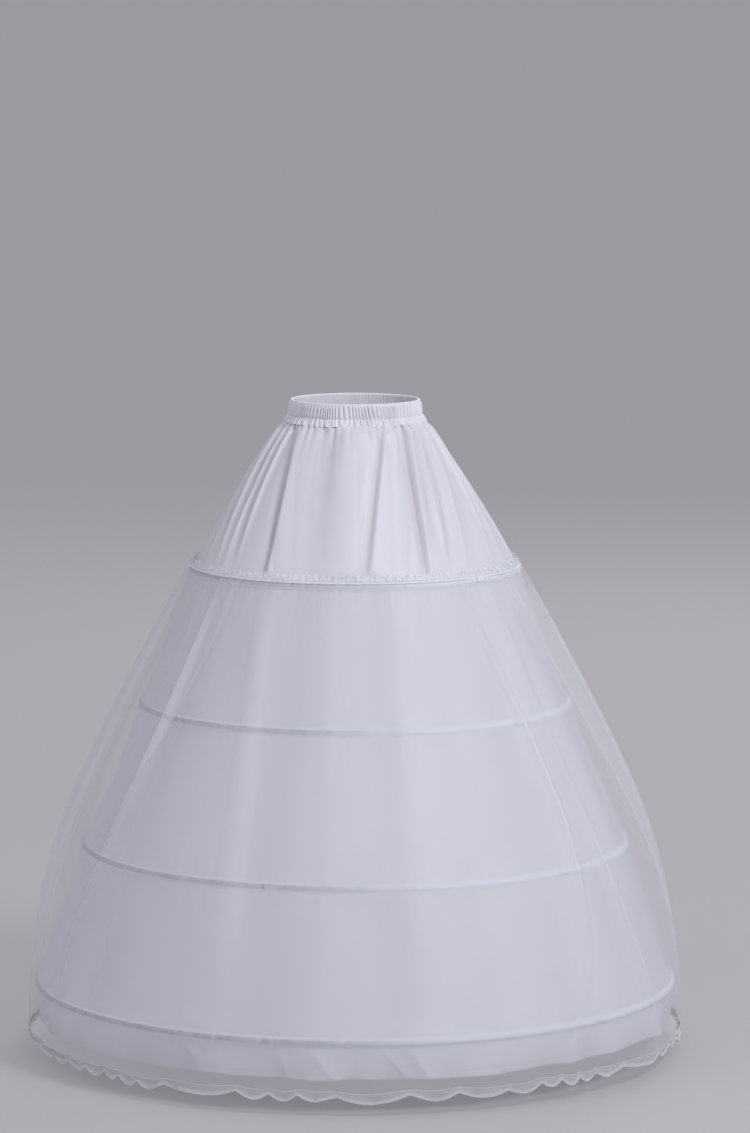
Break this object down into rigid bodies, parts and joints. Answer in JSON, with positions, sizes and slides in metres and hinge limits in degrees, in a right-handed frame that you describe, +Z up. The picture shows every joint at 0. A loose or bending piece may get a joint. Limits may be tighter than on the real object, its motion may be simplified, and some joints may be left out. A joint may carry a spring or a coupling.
{
  "type": "hoop petticoat",
  "caption": "White hoop petticoat with a shirred elastic waist, gathered yoke, steel hoops in sewn casings and a sheer net overskirt edged with lace.",
  "frame": {"origin": "centre of the waist opening, half way up the waist elastic", "axes": "+Z up along the waist axis, -Y to the front, +X to the right as seen from the front"},
  "size_m": [1.0631, 1.0622, 1.0243],
  "materials": {
    "satin": "soft satin sheen",
    "elastic": "woven, matt",
    "tape": "woven tape, matt",
    "net": "sheer net",
    "lace": "open lace",
    "spring_steel": "plain",
    "sleeve_steel": "crimped"
  },
  "bodies": {
    "root": {"waistband": "satin", "waist_elastic": "elastic", "yoke": "satin", "underskirt": "satin", "top_hoop": "spring_steel", "top_hoop_sleeve": "sleeve_steel", "top_hoop_casing": "tape", "second_hoop": "spring_steel", "second_hoop_sleeve": "sleeve_steel", "second_hoop_casing": "tape", "third_hoop": "spring_steel", "third_hoop_sleeve": "sleeve_steel", "third_hoop_casing": "tape", "bottom_hoop": "spring_steel", "bottom_hoop_sleeve": "sleeve_steel", "bottom_hoop_casing": "tape", "overskirt": "net", "lace_trim": "lace"}
  },
  "joints": []
}
